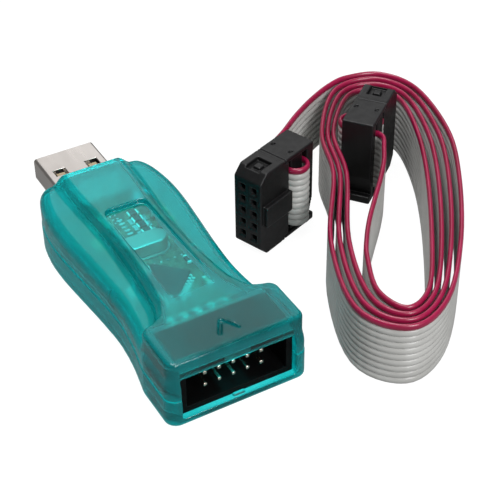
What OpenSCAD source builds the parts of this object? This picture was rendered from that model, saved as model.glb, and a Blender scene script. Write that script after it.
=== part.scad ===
// USB microcontroller programmer: a translucent two-part case round a circuit board, with a USB-A plug at
// one end, a keyed ten-pin box header at the other, and its ten-way ribbon cable coiled beside it.
// Millimetres. +Z is up, +Y runs from the header end to the USB plug, and the origin is on the bench
// below the middle of the case. The modules measure y from the header end, and placed() moves them.

/* [Case] */
// Length of the case along Y
case_l = 55.3; // [54.8:0.1:55.8]
// Height of the case at its raised spine
case_h = 13; // [12.8:0.1:13.6]
// Half the width at the header block
block_half_w = 12.1; // [11.9:0.1:12.6]
// Half the width at the waist behind the header block
waist_half_w = 10.75; // [10.6:0.05:11]
// Half the width at the bulge near the USB end
bulge_half_w = 12.1; // [11.8:0.1:12.6]
// Height of the joint between the two shells
split_z = 5.6; // [5.4:0.1:5.8]
// Wall thickness of the shells
wall = 1.3; // [1.2:0.05:1.4]
// Height of the shoulders where they meet the header block
shoulder_front_z = 9.6; // [9.4:0.1:9.8]
// Height of the shoulders at the USB end
shoulder_back_z = 10.6; // [10.2:0.1:10.8]
// Half the width of the spine along its middle
spine_half_w = 5.8; // [5.6:0.1:6]
// Depth of the label recess at its deep end
label_deep = 0.8; // [0.5:0.1:0.9]

/* [Circuit board] */
// Thickness of the circuit board
board_t = 1.6; // [1.2:0.2:1.6]
// Width of the circuit board
board_w = 18; // [17:0.5:18.5]

/* [USB plug] */
// Width of the metal plug shell
usb_w = 12; // [12:0.1:12.1]
// Height of the metal plug shell
usb_h = 4.5; // [4.5:0.05:4.6]
// Length of the metal plug shell
usb_l = 18.6; // [18:0.2:19]
// Length of plug that stands out of the case
usb_out = 12.4; // [12:0.1:12.5]

/* [Box header] */
// Width of the header housing
header_w = 20.3; // [20.1:0.1:20.4]
// Height and depth of the header housing
header_d = 8.9; // [8.8:0.05:9]
// Pin spacing
pitch = 2.54; // [2.54]

/* [Ribbon cable] */
// Spacing of the conductors
wire_pitch = 1.27; // [1.27]
// Thickness of the ribbon
ribbon_t = 0.85; // [0.75:0.05:0.88]
// Looseness of the coil, as a multiple of the gap between its turns
coil_loose = 1; // [0.97:0.01:1.03]
// Length of the ribbon socket along its pin rows
socket_l = 17.5; // [17.3:0.1:17.6]
// Thickness of the ribbon socket
socket_t = 6; // [5.9:0.1:6.1]

/* [Hidden] */
eps = 0.01;
wires = 10;
columns = 5;
mid_z = 6;                         // height of the board, the plug and the header pins
board_top = mid_z + board_t / 2;
board_low = mid_z - board_t / 2;
board_front = 11.2;
board_back = case_l - 5;
floor_t = 1.3;
front_wall = 0.75;                 // wall in front of the header housing
header_back = front_wall + header_d;
usb_tip = case_l + usb_out;
usb_rear = usb_tip - usb_l;
ribbon_w = wires * wire_pitch;
origin_y = 27;                     // from the header end to the origin
module placed() translate([0, -origin_y, 0]) children();

// Point t of the way along a Catmull-Rom curve from b to c
function curve_point(a, b, c, d, t) =
    0.5 * (2 * b + (c - a) * t + (2 * a - 5 * b + 4 * c - d) * t * t + (3 * b - a - 3 * c + d) * t * t * t);
// Smooth curve through every point of p
function curve_through(p, steps) = let (n = len(p) - 1)
    [for (i = [0:n - 1], s = [0:steps - 1])
        curve_point(p[max(i - 1, 0)], p[i], p[i + 1], p[min(i + 2, n)], s / steps), p[n]];
function mirror_x(p) = [for (i = [len(p) - 1:-1:0]) [-p[i][0], p[i][1]]];
function arc(c, r, from, to, steps) =
    [for (i = [0:steps]) let (a = from + (to - from) * i / steps) c + r * [cos(a), sin(a)]];
function smooth(t) = let (s = min(1, max(0, t))) s * s * (3 - 2 * s);

// Right half of the case's outline: the header block, the waist, the bulge and the flat USB end
block_l = 10.6;
corner_r = 1.6;
case_side = concat(
    arc([block_half_w - corner_r, corner_r], corner_r, -90, 0, 6),
    curve_through([[block_half_w, block_l], [waist_half_w + 0.45, block_l + 5], [waist_half_w, 21.3],
        [waist_half_w + 0.3, 28], [bulge_half_w - 0.5, 34.5], [bulge_half_w, 41], [bulge_half_w, 46],
        [bulge_half_w - 0.6, 50.5], [bulge_half_w - 1.5, case_l - 2], [bulge_half_w - 2.7, case_l - 0.5],
        [bulge_half_w - 4.1, case_l]], 4));
// Right half of the raised spine: wider than the case over the header block, then a fillet down to a ridge
spine_side = concat(
    [[block_half_w + 1.5, -2]],
    curve_through([[block_half_w + 1.5, block_l - 1.3], [block_half_w - 0.6, block_l - 0.4],
        [spine_half_w + 3.5, block_l], [spine_half_w + 1.8, block_l + 1], [spine_half_w + 0.9, block_l + 3],
        [spine_half_w + 0.35, block_l + 6], [spine_half_w, 24], [spine_half_w, 33],
        [spine_half_w + 0.3, 41], [spine_half_w + 0.8, 48], [spine_half_w + 0.9, case_l + 2]], 4));

function unit(v) = v / norm(v);
function normal_at(p, i) = let (n = len(p) - 1, d = unit(p[min(i + 1, n)] - p[max(i - 1, 0)])) [-d[1], d[0]];
// The curve p moved sideways by d, to the left of its direction
function beside(p, d) = [for (i = [0:len(p) - 1]) p[i] + d * normal_at(p, i)];
function backwards(p) = [for (i = [len(p) - 1:-1:0]) p[i]];
// A whole outline from its right half, moved inwards by d
module half_pair(side, d) polygon(let (s = beside(side, d)) concat(s, mirror_x(s)));

// Everything above the sloping shoulders, outside the spine; drop lowers it all by a wall thickness
module above_shoulders(drop) {
    slope = atan((shoulder_back_z - shoulder_front_z) / (case_l - block_l));
    difference() {
        translate([-case_l / 2, block_l, shoulder_front_z - drop])
            rotate([slope, 0, 0])
                translate([0, -block_l, 0])
                    cube([case_l, 2 * case_l, case_h]);
        translate([0, 0, -eps])
            linear_extrude(2 * case_h) half_pair(spine_side, drop);
    }
}

module usb_hole(gap) {
    translate([-usb_w / 2 - gap, case_l - 3 * wall, mid_z - usb_h / 2 - gap])
        cube([usb_w + 2 * gap, 4 * wall, usb_h + 2 * gap]);
}

opening_h = 7.85;
opening_w = header_w + 0.2;
opening_z = mid_z - opening_h / 2 - 0.42;
module header_hole() {
    translate([-opening_w / 2, -eps, opening_z])
        cube([opening_w, front_wall + 2 * eps, opening_h]);
}

// Space inside both shells, with a seat that holds the header housing
module case_inside(top) {
    difference() {
        translate([0, 0, floor_t])
            linear_extrude(top - floor_t) half_pair(case_side, wall);
        above_shoulders(wall);
        translate([-case_l / 2, -eps, 0])
            cube([case_l, header_back + eps, case_h]);
    }
    translate([-header_w / 2 - 0.05, front_wall, mid_z - header_d / 2 - 0.05])
        cube([header_w + 0.1, header_d + 0.1 + wall, header_d + 0.1]);
}

lip_h = 0.8;
lip_gap = 0.05;
module lip_ring(inner, outer) {
    difference() {
        half_pair(case_side, outer);
        half_pair(case_side, inner);
    }
}
module lip_band(inner, outer, h) {
    difference() {
        translate([0, 0, split_z])
            linear_extrude(h) lip_ring(inner, outer);
        translate([-case_l / 2, -eps, 0])
            cube([case_l, block_l + 4, case_h]);
        translate([-usb_w / 2 - 1, case_l - 4, 0])
            cube([usb_w + 2, 5, case_h]);
    }
}

// Label recess: a pocket in the spine whose floor rises to nothing towards the header
label_half_w = 4;
label_front = 17.3;
label_back = 40.7;
module label_recess() {
    label_l = label_back - label_front;
    r = 1.4;
    translate([0, label_front, case_h])
        rotate([-atan(label_deep / label_l), 0, 0])
            linear_extrude(label_deep + 1)
                polygon(concat([[label_half_w, 0]], arc([label_half_w - r, label_l - r], r, 0, 90, 6),
                    arc([r - label_half_w, label_l - r], r, 90, 180, 6), [[-label_half_w, 0]]));
}

// Pin-one arrow cut into the header block: two thin strokes that meet at a point
module arrow_groove() {
    stroke = 0.3;
    for (side = [-1, 1])
        translate([0, 5.9, case_h - 0.25])
            rotate([0, 0, side * 30 - 90])
                translate([0, -stroke / 2, 0])
                    cube([3.6, stroke, 1]);
}

module board_post(x, y, r, z0, z1) {
    translate([x, y, z0])
        cylinder(r = r, h = z1 - z0, $fn = 32);
}
post_x = board_w / 2 - 1.6;
post_y = [16.5, 46.5];

module upper_shell() color([0.03, 0.62, 0.62, 0.75]) placed() {
    difference() {
        translate([0, 0, split_z])
            linear_extrude(case_h - split_z) half_pair(case_side, 0);
        above_shoulders(0);
        case_inside(case_h - wall);
        header_hole();
        usb_hole(0.1);
        label_recess();
        arrow_groove();
        lip_band(2, 0.6, lip_h + lip_gap);
    }
    for (x = [-post_x, post_x], y = post_y)
        board_post(x, y, 0.8, board_top, shoulder_back_z - wall);
}

module lower_shell() color([0.02, 0.5, 0.52, 0.8]) placed() {
    difference() {
        union() {
            linear_extrude(split_z) half_pair(case_side, foot_inset);
            translate([0, 0, foot_h])
                linear_extrude(split_z - foot_h) half_pair(case_side, 0);
        }
        case_inside(split_z + eps);
        header_hole();
        usb_hole(0.1);
    }
    lip_band(wall, 0.6 + lip_gap, lip_h);
    for (x = [-post_x, post_x], y = post_y)
        board_post(x, y, 1.1, floor_t - eps, board_low);
}

foot_inset = 0.5;
foot_h = 0.5;
usb_notch_y = usb_rear - 0.1;
module circuit_board() color([0.05, 0.32, 0.16]) placed() {
    difference() {
        translate([-board_w / 2, board_front, board_low])
            cube([board_w, board_back - board_front, board_t]);
        translate([-usb_w / 2 - 0.1, usb_notch_y, board_low - 1])
            cube([usb_w + 0.2, usb_l, board_t + 2]);
        for (s = [-1, 1])
            translate([crystal_x + s * crystal_pin_gap / 2, crystal_y, board_low - 1])
                cylinder(r = 0.45, h = board_t + 2, $fn = 24);
    }
}

// Rectangle with rounded corners, centred
module rounded_rect(w, h, r) {
    polygon(concat(arc([w / 2 - r, h / 2 - r], r, 0, 90, 4), arc([r - w / 2, h / 2 - r], r, 90, 180, 4),
        arc([r - w / 2, r - h / 2], r, 180, 270, 4), arc([w / 2 - r, r - h / 2], r, 270, 360, 4)));
}

usb_t = 0.3;
module usb_shell() color([0.8, 0.78, 0.76]) placed() {
    window_gap = 3.9;
    difference() {
        translate([0, usb_tip, mid_z])
            rotate([90, 0, 0])
                linear_extrude(usb_l)
                    difference() {
                        rounded_rect(usb_w, usb_h, 0.6);
                        rounded_rect(usb_w - 2 * usb_t, usb_h - 2 * usb_t, 0.3);
                    }
        for (s = [-1, 1])
            translate([s * (window_gap + 2.5) / 2 - 1.25, usb_tip - 7.2, mid_z - usb_h])
                cube([2.5, 2, 2 * usb_h]);
    }
}

insulator_t = 1.84;
insulator_low = mid_z - usb_h / 2 + usb_t + 0.05;
insulator_w = usb_w - 2 * usb_t - 0.3;
module usb_insulator() color([0.1, 0.1, 0.1]) placed() {
    translate([-insulator_w / 2, usb_rear, insulator_low])
        cube([insulator_w, usb_l - 0.6, insulator_t]);
    translate([-insulator_w / 2, usb_rear, insulator_low])
        cube([insulator_w, 5.5, usb_h - 2 * usb_t - 0.1]);
}

// Four flat contacts: the outer two are longer, so power connects before data
module usb_contacts() color([0.85, 0.68, 0.3]) placed() {
    for (i = [0:3]) {
        x = [-3.5, -1, 1, 3.5][i];
        reach = (i == 0 || i == 3) ? 7.4 : 6.4;
        translate([x - 0.5, usb_tip - 1.2 - reach, insulator_low + insulator_t])
            cube([1, reach, 0.2]);
        translate([x - 0.4, usb_rear - 2, board_top])
            cube([0.8, 2, 0.25]);
    }
}

cavity_w = 17.9;
cavity_h = 6.5;
cavity_d = 6.6;
pin = 0.64;
module header_housing() color([0.05, 0.05, 0.05]) placed() {
    difference() {
        translate([-header_w / 2, front_wall, mid_z - header_d / 2])
            cube([header_w, header_d, header_d]);
        translate([-cavity_w / 2, front_wall - eps, mid_z - cavity_h / 2])
            cube([cavity_w, cavity_d + eps, cavity_h]);
        translate([-2.25, front_wall - eps, mid_z])
            cube([4.5, cavity_d - 0.8, header_d]);
        each_pin() translate([-pin / 2, 0, -pin / 2])
            cube([pin, 2 * header_d, pin]);
    }
}
module each_pin() {
    for (i = [0:columns - 1], row = [-1, 1])
        translate([(i - (columns - 1) / 2) * pitch, front_wall, mid_z + row * pitch / 2])
            children();
}
pin_tip = 1.08;
pin_end = board_front + 2.6 - front_wall;
module header_pins() color([0.85, 0.68, 0.3]) placed() {
    each_pin() translate([-pin / 2, pin_tip, -pin / 2])
        cube([pin, pin_end - pin_tip, pin]);
}
// Solder between each pin and its pad on the edge of the board
module header_solder() color([0.75, 0.75, 0.77]) placed() {
    gap = pitch / 2 - pin / 2 - board_t / 2;
    for (i = [0:columns - 1], row = [-1, 1])
        translate([(i - (columns - 1) / 2) * pitch - 0.6, board_front + 0.2,
            row > 0 ? board_top : board_low - gap])
            cube([1.2, 2.2, gap]);
}

// The microcontroller sits turned by 45 degrees
mcu_x = -0.9;
mcu_y = 23.8;
mcu_w = 7;
module on_mcu() translate([mcu_x, mcu_y, board_top]) rotate([0, 0, 45]) children();
module microcontroller() color([0.07, 0.07, 0.08]) placed() {
    on_mcu() translate([-mcu_w / 2, -mcu_w / 2, 0.1])
        cube([mcu_w, mcu_w, 1]);
}
module microcontroller_leads() color([0.75, 0.75, 0.77]) placed() {
    on_mcu() for (side = [0:3], i = [0:7])
        rotate([0, 0, 90 * side]) translate([mcu_w / 2, (i - 3.5) * 0.8 - 0.18, 0]) {
            translate([0, 0, 0.5]) cube([0.45, 0.36, 0.15]);
            translate([0.3, 0, 0]) cube([0.15, 0.36, 0.65]);
            translate([0.3, 0, 0]) cube([0.7, 0.36, 0.12]);
        }
}

crystal_x = 0.1;
crystal_y = 33.2;
crystal_pin_gap = 4.88;
module capsule(l, w, h) {
    translate([-(l - w) / 2, -w / 2, 0])
        cube([l - w, w, h]);
    for (s = [-1, 1])
        translate([s * (l - w) / 2, 0, 0])
            cylinder(r = w / 2, h = h, $fn = 48);
}
module crystal_can() color([0.78, 0.78, 0.76]) placed() {
    translate([crystal_x, crystal_y, board_top + 0.5])
        capsule(8.6, 3.8, 2.7);
}
module crystal_base() color([0.65, 0.65, 0.64]) placed() {
    translate([crystal_x, crystal_y, board_top])
        capsule(9.4, 4.6, 0.5);
    for (s = [-1, 1])
        translate([crystal_x + s * crystal_pin_gap / 2, crystal_y, board_low - 0.8])
            cylinder(r = 0.22, h = board_t + 0.8 + eps, $fn = 24);
}

// Chip parts are [x, y, turned]; each is a body between two metal ends
chip_l = 2;
chip_w = 1.25;
chip_end = 0.35;
resistors = [for (i = [0:3]) [3.1, 38.2 + 2 * i, 0], [-3.2, 38.2, 0], [-3.2, 40.2, 0], [5.6, 27.5, 1],
    [7.4, 31.5, 1]];
capacitors = [[-3.2, 42.2, 0], [-3.2, 44.2, 0], [-7, 24, 1], [5.6, 20.5, 1]];
module chip_place(c) translate([c[0], c[1], board_top]) rotate([0, 0, 90 * c[2]]) children();
module chip_body(c, h) {
    chip_place(c) translate([-chip_l / 2 + chip_end, -chip_w / 2, 0])
        cube([chip_l - 2 * chip_end, chip_w, h]);
}
module chip_ends(c, h) {
    chip_place(c) for (s = [-1, 1])
        translate([s * (chip_l - chip_end) / 2 - chip_end / 2, -chip_w / 2, 0])
            cube([chip_end, chip_w, h]);
}
module chip_resistors() color([0.06, 0.06, 0.07]) placed() for (c = resistors) chip_body(c, 0.5);
module chip_capacitors() color([0.62, 0.5, 0.36]) placed() for (c = capacitors) chip_body(c, 0.9);
module chip_terminals() color([0.78, 0.78, 0.78]) placed() {
    for (c = resistors) chip_ends(c, 0.5);
    for (c = capacitors) chip_ends(c, 0.9);
}
module bulk_capacitor() color([0.85, 0.6, 0.15]) placed() {
    translate([-7.9, 35.5, board_top])
        cube([2.8, 3.5, 1.9]);
}
zener_y = [38.4, 41.4];
zener_x = 7.1;
module zener_diodes() color([0.75, 0.35, 0.2]) placed() {
    for (y = zener_y)
        translate([zener_x - 1.2, y, board_top + 0.7]) rotate([0, 90, 0])
            cylinder(r = 0.65, h = 2.4, $fn = 32);
}
module zener_end_caps() color([0.78, 0.78, 0.78]) placed() {
    for (y = zener_y, s = [-1, 1])
        translate([zener_x + s * 1.45 - 0.25, y, board_top + 0.7]) rotate([0, 90, 0])
            cylinder(r = 0.7, h = 0.5, $fn = 32);
}
led_x = 5.4;
led_y = 47.2;
module led(x) translate([x - chip_l / 2 + chip_end, led_y - chip_w / 2, board_top])
    cube([chip_l - 2 * chip_end, chip_w, 0.8]);
module power_led() color([0.9, 0.15, 0.1]) placed() led(-led_x);
module activity_led() color([0.3, 0.7, 0.95]) placed() led(led_x);
module led_terminals() color([0.78, 0.78, 0.78]) placed() {
    for (x = [-led_x, led_x]) chip_ends([x, led_y, 0], 0.4);
}

// The coil lies on the bench with the ribbon on its edge. Spokes fan out from points along its middle;
// each is [place along the middle, heading, distance of the innermost turn, growth for one turn].
coil_at = [43.2, 22.7];
coil_turn = 61;
spokes = [[-22, 180, 10.7, 1.5], [-24, 135, 5.5, 1.26], [-15, 90, 5.65, 1.64], [4, 90, 6.75, 1.9],
    [18, 90, 6.2, 1.9], [24, 45, 5.85, 1.68], [24, 0, 7, 1.95], [24, -45, 6.8, 1.6],
    [17, -90, 8.05, 1.08], [4, -90, 6.3, 1.17], [-15, -90, 6.8, 1.53], [-24, -135, 6.3, 1.85]];
turn_n = len(spokes);
// Where turn number k / turn_n of the ribbon crosses its spoke
function crossing(k) = let (s = spokes[(k + turn_n) % turn_n],
    r = s[2] + s[3] * coil_loose * k / turn_n)
    [s[0] + r * cos(s[1]), r * sin(s[1])];
function on_bench(p) = coil_at + p[0] * [cos(coil_turn), sin(coil_turn)]
    + p[1] * [sin(coil_turn), -cos(coil_turn)];
// A socket's own frame: p runs in from its mating face, q is to its exit side
function socket_point(s, p, q) = [s[0], s[1]] + p * [cos(s[2]), sin(s[2])] + q * [-sin(s[2]), cos(s[2])];
socket_a = [20.1, 32.6, 20.6];
socket_b = [56.65, 45.05, 218.4];
pass_one = 8.4;                    // depth of the ribbon between the body and the cover
fold_r = 2.1;
pass_two = pass_one + 2 * fold_r;  // depth of the ribbon under the strain relief

coil_first = -1;
coil_last = 41;
coil_steps = 6;
coil_ends = [-19.5, -5.35];
coil_path = [for (p = curve_through(concat([coil_ends], [for (k = [coil_first:coil_last]) crossing(k)],
    [[37.6, 1.6]]), coil_steps)) on_bench(p)];

// Across under the strain relief, round the fold and back between the cover and the body
fold_q = -socket_t / 2 + 0.5;
function into_socket(s) = concat(
    [for (q = [socket_t / 2, 0, fold_q]) socket_point(s, pass_two, q)],
    [for (a = [-18:-18:-180]) socket_point(s, pass_one + fold_r + fold_r * cos(a), fold_q + fold_r * sin(a))],
    [for (q = [0, socket_t / 2]) socket_point(s, pass_one, q)]);
tail_gap = 0.3;                    // room for tail A to swing
// Free ribbon between the coil and each socket, through a few places in the coil's own frame
tail_a_free = let (n = len(coil_path), end = coil_path[n - 1], way = unit(end - coil_path[n - 2]))
    curve_through(concat([end + tail_gap * way],
        [for (p = [[36.2, -5], [32.8, -8.7], [27.2, -12.3], [20.6, -15.6], [14.4, -18.2]]) on_bench(p)],
        [for (q = [1.6, 0.3]) socket_point(socket_a, pass_two, socket_t / 2 + q)]), 6);
tail_b_free = let (end = coil_path[0], way = unit(end - coil_path[1]))
    curve_through(concat([end + tail_gap / 3 * way],
        [for (p = [[-14.8, -5.05], [-9.9, -4.2], [-4.9, -2.9], [0.2, -1.5], [5, -0.5], [9, -0.15]]) on_bench(p)],
        [for (q = [1.6, 0.3]) socket_point(socket_b, pass_two + 0.7 * (q - 0.3), socket_t / 2 + q)]), 6);

// The free ribbon climbs from the bench to the middle of the socket
lift = (socket_l - ribbon_w) / 2;
module tail_band(path, z0, z1) {
    n = len(path);
    left = beside(path, ribbon_t / 2);
    right = beside(path, -ribbon_t / 2);
    points = [for (i = [0:n - 1]) let (up = lift * smooth(i / (n - 1)))
        each [[right[i][0], right[i][1], z0 + up], [left[i][0], left[i][1], z0 + up],
            [left[i][0], left[i][1], z1 + up], [right[i][0], right[i][1], z1 + up]]];
    sides = [for (i = [0:n - 2], k = [0:3]) let (a = 4 * i + k, b = 4 * i + (k + 1) % 4)
        each [[a, a + 4, b + 4], [a, b + 4, b]]];
    polyhedron(points, concat([[0, 1, 2], [0, 2, 3]], sides,
        [[4 * n - 4, 4 * n - 2, 4 * n - 3], [4 * n - 4, 4 * n - 1, 4 * n - 2]]));
}
module flat_band(path, z0, z1) {
    translate([0, 0, z0])
        linear_extrude(z1 - z0)
            polygon(concat(beside(path, ribbon_t / 2), backwards(beside(path, -ribbon_t / 2))));
}
red_z = ribbon_w - wire_pitch;
module grey_ribbon() color([0.68, 0.68, 0.66]) placed() children();
module red_ribbon() color([0.65, 0.1, 0.25]) placed() children();
module ribbon_coil_grey() grey_ribbon() flat_band(coil_path, 0, red_z);
module ribbon_coil_red() red_ribbon() flat_band(coil_path, red_z, ribbon_w);
module ribbon_tail_a_grey() grey_ribbon() tail_band(tail_a_free, 0, red_z);
module ribbon_tail_a_red() red_ribbon() tail_band(tail_a_free, red_z, ribbon_w);
module ribbon_tail_b_grey() grey_ribbon() tail_band(tail_b_free, 0, red_z);
module ribbon_tail_b_red() red_ribbon() tail_band(tail_b_free, red_z, ribbon_w);
module ribbon_fold_grey(s) grey_ribbon() flat_band(into_socket(s), lift, lift + red_z);
module ribbon_fold_red(s) red_ribbon() flat_band(into_socket(s), lift + red_z, lift + ribbon_w);

// Sockets stand on one end; x runs in from the mating face and y across the thickness
module at_socket(s) translate([s[0], s[1], 0]) rotate([0, 0, s[2]]) children();
body_d = pass_one - ribbon_t / 2 - 0.05;
cover_d0 = pass_one + ribbon_t / 2 + 0.05;
cover_d1 = pass_two - ribbon_t / 2 - 0.05;
relief_d0 = pass_two + ribbon_t / 2 + 0.05;
socket_d = 14.9;
leg_t = 0.85;
leg_d0 = 7;
module slab(x0, x1, y0, y1, z0, z1) translate([x0, y0, z0]) cube([x1 - x0, y1 - y0, z1 - z0]);
module socket_body(s) color([0.06, 0.06, 0.06]) placed() at_socket(s) {
    half = socket_t / 2;
    key_half_w = 2.1;
    bump = 0.9;
    difference() {
        union() {
            slab(0, leg_d0 - 0.05, -half, half, 0, socket_l);
            slab(leg_d0 - 0.06, body_d, -half, half, leg_t + 0.05, socket_l - leg_t - 0.05);
            slab(0.8, body_d, -half - bump, -half + eps, socket_l / 2 - key_half_w, socket_l / 2 + key_half_w);
        }
        for (i = [0:columns - 1], row = [-1, 1])
            translate([0, row * pitch / 2, socket_l / 2 + (i - (columns - 1) / 2) * pitch])
                slab(-eps, body_d - 0.4, -0.5, 0.5, -0.5, 0.5);
        for (end = [0, 1])
            translate([0, 0, end * socket_l])
                slab(1.6, 4.6, -1.4, 1.4, -0.7, 0.7);
    }
}
// Two spring leaves in each pin hole
module socket_contacts(s) color([0.85, 0.68, 0.3]) placed() at_socket(s) {
    for (i = [0:columns - 1], row = [-1, 1], side = [-1, 1])
        translate([0, row * pitch / 2, socket_l / 2 + (i - (columns - 1) / 2) * pitch + side * 0.4])
            slab(1.5, body_d - 0.5, -0.35, 0.35, -0.08, 0.08);
}
// Its fold side is set back a little, so that the ribbon can bend round it
module crimp_cover(s) color([0.07, 0.07, 0.07]) placed() at_socket(s)
    slab(cover_d0, cover_d1, 0.3 - socket_t / 2, socket_t / 2, leg_t + 0.05, socket_l - leg_t - 0.05);
module strain_relief(s) color([0.06, 0.06, 0.06]) placed() at_socket(s) {
    half = socket_t / 2;
    slab(relief_d0, socket_d, -half, half, 0, socket_l);
    for (end = [0, 1])
        translate([0, 0, end * (socket_l - leg_t)])
            slab(leg_d0, relief_d0 + eps, -half, half, 0, leg_t);
}

upper_shell();
lower_shell();
circuit_board();
usb_shell();
usb_insulator();
usb_contacts();
header_housing();
header_pins();
header_solder();
microcontroller();
microcontroller_leads();
crystal_can();
crystal_base();
chip_resistors();
chip_capacitors();
chip_terminals();
bulk_capacitor();
zener_diodes();
zener_end_caps();
power_led();
activity_led();
led_terminals();
ribbon_coil_grey();
ribbon_coil_red();
ribbon_tail_a_grey();
ribbon_tail_a_red();
ribbon_fold_grey(socket_a);  // ribbon_fold_a_grey
ribbon_fold_red(socket_a);  // ribbon_fold_a_red
socket_body(socket_a);  // socket_body_a
socket_contacts(socket_a);  // socket_contacts_a
crimp_cover(socket_a);  // crimp_cover_a
strain_relief(socket_a);  // strain_relief_a
ribbon_tail_b_grey();
ribbon_tail_b_red();
ribbon_fold_grey(socket_b);  // ribbon_fold_b_grey
ribbon_fold_red(socket_b);  // ribbon_fold_b_red
socket_body(socket_b);  // socket_body_b
socket_contacts(socket_b);  // socket_contacts_b
crimp_cover(socket_b);  // crimp_cover_b
strain_relief(socket_b);  // strain_relief_b
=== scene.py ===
"""Looks of a USB microcontroller programmer with its coiled ribbon cable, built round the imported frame.

Lengths are millimetres until a mesh is made. The axes are the frame's, but y is measured from the header
end of the case, as its outline is drawn: DATUM moves a place from here into the frame.
"""
import math
from functools import reduce

import bmesh
import bpy
import numpy as np
import openvdb
from mathutils import Matrix, Vector


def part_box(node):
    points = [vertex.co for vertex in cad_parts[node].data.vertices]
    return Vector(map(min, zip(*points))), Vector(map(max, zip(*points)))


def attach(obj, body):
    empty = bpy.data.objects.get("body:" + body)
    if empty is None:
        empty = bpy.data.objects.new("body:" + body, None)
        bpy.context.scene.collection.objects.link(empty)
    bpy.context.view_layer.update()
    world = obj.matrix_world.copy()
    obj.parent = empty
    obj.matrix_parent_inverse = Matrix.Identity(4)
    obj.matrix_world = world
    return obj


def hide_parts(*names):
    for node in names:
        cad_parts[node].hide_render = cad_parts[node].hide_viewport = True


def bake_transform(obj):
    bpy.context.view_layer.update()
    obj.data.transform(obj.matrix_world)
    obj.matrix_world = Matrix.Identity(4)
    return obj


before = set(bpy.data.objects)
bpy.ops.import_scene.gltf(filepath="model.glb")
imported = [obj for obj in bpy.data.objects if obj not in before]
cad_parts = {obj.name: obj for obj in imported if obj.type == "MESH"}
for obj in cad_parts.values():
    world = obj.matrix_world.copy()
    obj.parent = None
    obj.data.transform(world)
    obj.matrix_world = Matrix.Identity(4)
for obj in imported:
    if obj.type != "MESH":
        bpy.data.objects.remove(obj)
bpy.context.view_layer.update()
MM = 0.001
# Where this script's own y starts, in the frame
DATUM = np.array([0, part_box("upper_shell")[0].y / MM, 0])


def node_box(name):
    """Lowest and highest corner of a CAD node, in this script's place and units."""
    low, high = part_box(name)
    return np.array(low) / MM - DATUM, np.array(high) / MM - DATUM


def in_frame(x, y, z=0.0):
    """A place in the frame, in metres."""
    return Vector((x, y + DATUM[1], z)) * MM


# ---- Sizes taken from the frame ----
upper_low, upper_high = node_box("upper_shell")
usb_low, usb_high = node_box("usb_shell")
housing_low, housing_high = node_box("header_housing")
board_lowest, board_highest = node_box("circuit_board")
CASE_L = upper_high[1]
CASE_H = upper_high[2]
HALF_W = upper_high[0]
SPLIT_Z = upper_low[2]
MID_Z = (usb_low[2] + usb_high[2]) / 2
WALL = 1.3
FLOOR_T = 1.3
# Length of the square block round the header
BLOCK_L = 10.6


# ---- Distance fields: negative inside, in millimetres ----
def span(c, low, high):
    """Distance to the slab between low and high along one axis."""
    return np.abs(c - (low + high) / 2) - (high - low) / 2


def meet(r, *parts):
    """The space that all parts share, its edges rounded by r."""
    q = [p + r for p in parts]
    outside = np.sqrt(sum(np.maximum(p, 0) ** 2 for p in q))
    return np.minimum(reduce(np.maximum, q), 0) + outside - r


def join(r, a, b):
    """Both parts, the corner between them filled to radius r."""
    return -meet(r, -a, -b)


def cut(r, a, b):
    """Part a without part b, the new edges rounded by r."""
    return meet(r, a, -b)


def block(x, y, z, low, high, r=0.0):
    """Distance to a box, its edges rounded by r."""
    return meet(r, span(x, low[0], high[0]), span(y, low[1], high[1]), span(z, low[2], high[2]))


def outline(points, x, y):
    """Distance to a closed polygon in plan."""
    points = [np.array(p, float) for p in points]
    best = np.full(np.broadcast(x, y).shape, 1e9)
    inside = np.zeros(best.shape, bool)
    for a, b in zip(points, points[1:] + points[:1]):
        e = b - a
        wx, wy = x - a[0], y - a[1]
        t = np.clip((wx * e[0] + wy * e[1]) / max(e @ e, 1e-12), 0, 1)
        best = np.minimum(best, (wx - e[0] * t) ** 2 + (wy - e[1] * t) ** 2)
        if a[1] != b[1]:
            crosses = (a[1] <= y) != (b[1] <= y)
            inside ^= crosses & (x < a[0] + (y - a[1]) * e[0] / e[1])
    return np.where(inside, -1, 1) * np.sqrt(best)


def curve_through(points, steps):
    """Smooth curve through every point."""
    p = [np.array(q, float) for q in points]
    p = [p[0]] + p + [p[-1]]
    out = []
    for a, b, c, d in zip(p, p[1:], p[2:], p[3:]):
        for t in np.arange(steps) / steps:
            out.append(0.5 * (2 * b + (c - a) * t + (2 * a - 5 * b + 4 * c - d) * t * t
                              + (3 * b - a - 3 * c + d) * t ** 3))
    return out + [p[-1]]


# ---- The case ----
CORNER_R = 1.6
# Half width at the narrowest place, just behind the header block
WAIST = HALF_W - 1.35
CURVE_STEPS = 5
corner = [(HALF_W - CORNER_R * (1 - math.sin(a)), CORNER_R * (1 - math.cos(a)))
          for a in np.radians(np.arange(0, 91, 15))]
case_side = corner + curve_through(
    [(HALF_W, BLOCK_L), (WAIST + 0.45, BLOCK_L + 5), (WAIST, 21.3), (WAIST + 0.3, 28),
     (HALF_W - 0.5, 34.5), (HALF_W, 41), (HALF_W, 46), (HALF_W - 0.6, 50.5), (HALF_W - 1.5, CASE_L - 2),
     (HALF_W - 2.7, CASE_L - 0.5), (HALF_W - 4.1, CASE_L)], CURVE_STEPS)
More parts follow.
